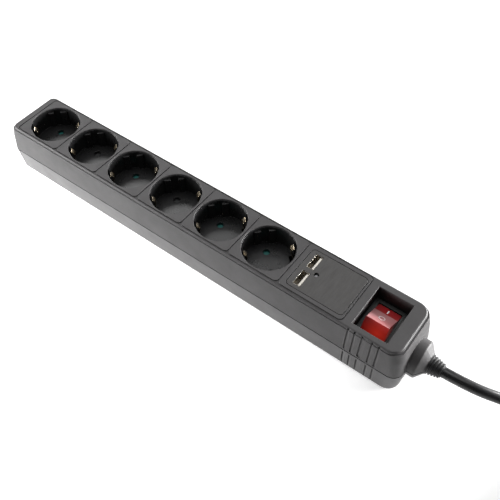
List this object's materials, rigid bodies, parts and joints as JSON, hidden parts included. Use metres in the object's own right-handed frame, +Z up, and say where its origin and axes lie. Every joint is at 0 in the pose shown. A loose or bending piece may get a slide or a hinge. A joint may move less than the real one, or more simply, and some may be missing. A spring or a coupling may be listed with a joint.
{
  "type": "power strip",
  "caption": "Long dark grey power strip with round recessed earthed sockets set at 45 degrees, charging ports, a lit red rocker switch in a deep recess and a cord to an angled plug.",
  "frame": {"origin": "middle of the housing's box, on the plane it rests on", "axes": "+X along the strip towards the cord, +Z up out of the sockets, +Y across"},
  "size_m": [0.6176, 0.0718, 0.0603],
  "materials": {
    "housing_plastic": "fine textured",
    "cover_plastic": "fine textured",
    "well_plastic": "smooth satin",
    "shutter_plastic": "satin",
    "brass": "bright",
    "clip_brass": "bright",
    "screw_steel": "zinc plated",
    "spring_steel": "drawn wire",
    "port_steel": "rolled sheet",
    "tongue_plastic": "moulded",
    "board_laminate": "coated laminate",
    "component_case": "moulded",
    "led_lens": "clear domed",
    "switch_plastic": "satin",
    "tinned_blade": "tinned",
    "lamp_glass": "clear",
    "rocker_red": "translucent gloss",
    "cord_rubber": "semi gloss",
    "tie_plastic": "flat moulded band",
    "sleeve_rubber": "satin",
    "clamp_plastic": "moulded",
    "plug_plastic": "satin",
    "pin_metal": "nickel plated",
    "plug_clip_metal": "nickel plated",
    "wire_brown": "extruded",
    "wire_blue": "extruded",
    "wire_green_yellow": "extruded"
  },
  "bodies": {
    "strip": {"upper_housing": "housing_plastic", "lower_housing": "housing_plastic", "usb_cover_plate": "cover_plastic", "socket_cup_1": "well_plastic", "socket_cup_2": "well_plastic", "socket_cup_3": "well_plastic", "socket_cup_4": "well_plastic", "socket_cup_5": "well_plastic", "socket_cup_6": "well_plastic", "live_busbar": "brass", "neutral_busbar": "brass", "earth_busbar": "brass", "usb_contacts": "brass", "earth_clip_1": "clip_brass", "earth_clip_2": "clip_brass", "earth_clip_3": "clip_brass", "earth_clip_4": "clip_brass", "earth_clip_5": "clip_brass", "earth_clip_6": "clip_brass", "housing_screws": "screw_steel", "usb_board_screws": "screw_steel", "clamp_screws": "screw_steel", "shutter_springs": "spring_steel", "usb_shell_1": "port_steel", "usb_shell_2": "port_steel", "usb_tongue_1": "tongue_plastic", "usb_tongue_2": "tongue_plastic", "usb_circuit_board": "board_laminate", "usb_board_parts": "component_case", "status_led": "led_lens", "switch_frame": "switch_plastic", "switch_terminals": "tinned_blade", "switch_lamp": "lamp_glass", "cord_lead": "cord_rubber", "cord_tail": "cord_rubber", "cord_hank": "cord_rubber", "inner_cord": "cord_rubber", "cord_ties": "tie_plastic", "strain_relief": "sleeve_rubber", "cord_clamp": "clamp_plastic", "plug_body": "plug_plastic", "plug_pins": "pin_metal", "plug_earth_contacts": "plug_clip_metal", "wire_live_in": "wire_brown", "wire_live_out": "wire_brown", "wire_neutral_in": "wire_blue", "wire_neutral_out": "wire_blue", "wire_earth": "wire_green_yellow"},
    "rocker": {"rocker": "rocker_red"},
    "shutter_body_1": {"shutter_1": "shutter_plastic"},
    "shutter_body_2": {"shutter_2": "shutter_plastic"},
    "shutter_body_3": {"shutter_3": "shutter_plastic"},
    "shutter_body_4": {"shutter_4": "shutter_plastic"},
    "shutter_body_5": {"shutter_5": "shutter_plastic"},
    "shutter_body_6": {"shutter_6": "shutter_plastic"}
  },
  "joints": [
    {"name": "rocker_tilt", "type": "hinge", "parent": "strip", "child": "rocker", "pos_m": [0.1502, -0.0004, 0.0336], "axis": [1, 0, 0], "range_deg": [0, 56]},
    {"name": "shutter_turn_1", "type": "hinge", "parent": "strip", "child": "shutter_body_1", "pos_m": [-0.1568, 0, 0.0265], "axis": [0, 0, 1], "range_deg": [0, 40], "stiffness_Nm_per_rad": 0.001, "springref_deg": -20.05},
    {"name": "shutter_turn_2", "type": "hinge", "parent": "strip", "child": "shutter_body_2", "pos_m": [-0.1138, 0, 0.0265], "axis": [0, 0, 1], "range_deg": [0, 40], "stiffness_Nm_per_rad": 0.001, "springref_deg": -20.05},
    {"name": "shutter_turn_3", "type": "hinge", "parent": "strip", "child": "shutter_body_3", "pos_m": [-0.0708, 0, 0.0265], "axis": [0, 0, 1], "range_deg": [0, 40], "stiffness_Nm_per_rad": 0.001, "springref_deg": -20.05},
    {"name": "shutter_turn_4", "type": "hinge", "parent": "strip", "child": "shutter_body_4", "pos_m": [-0.0278, 0, 0.0265], "axis": [0, 0, 1], "range_deg": [0, 40], "stiffness_Nm_per_rad": 0.001, "springref_deg": -20.05},
    {"name": "shutter_turn_5", "type": "hinge", "parent": "strip", "child": "shutter_body_5", "pos_m": [0.0152, 0, 0.0265], "axis": [0, 0, 1], "range_deg": [0, 40], "stiffness_Nm_per_rad": 0.001, "springref_deg": -20.05},
    {"name": "shutter_turn_6", "type": "hinge", "parent": "strip", "child": "shutter_body_6", "pos_m": [0.0582, 0, 0.0265], "axis": [0, 0, 1], "range_deg": [0, 40], "stiffness_Nm_per_rad": 0.001, "springref_deg": -20.05}
  ]
}
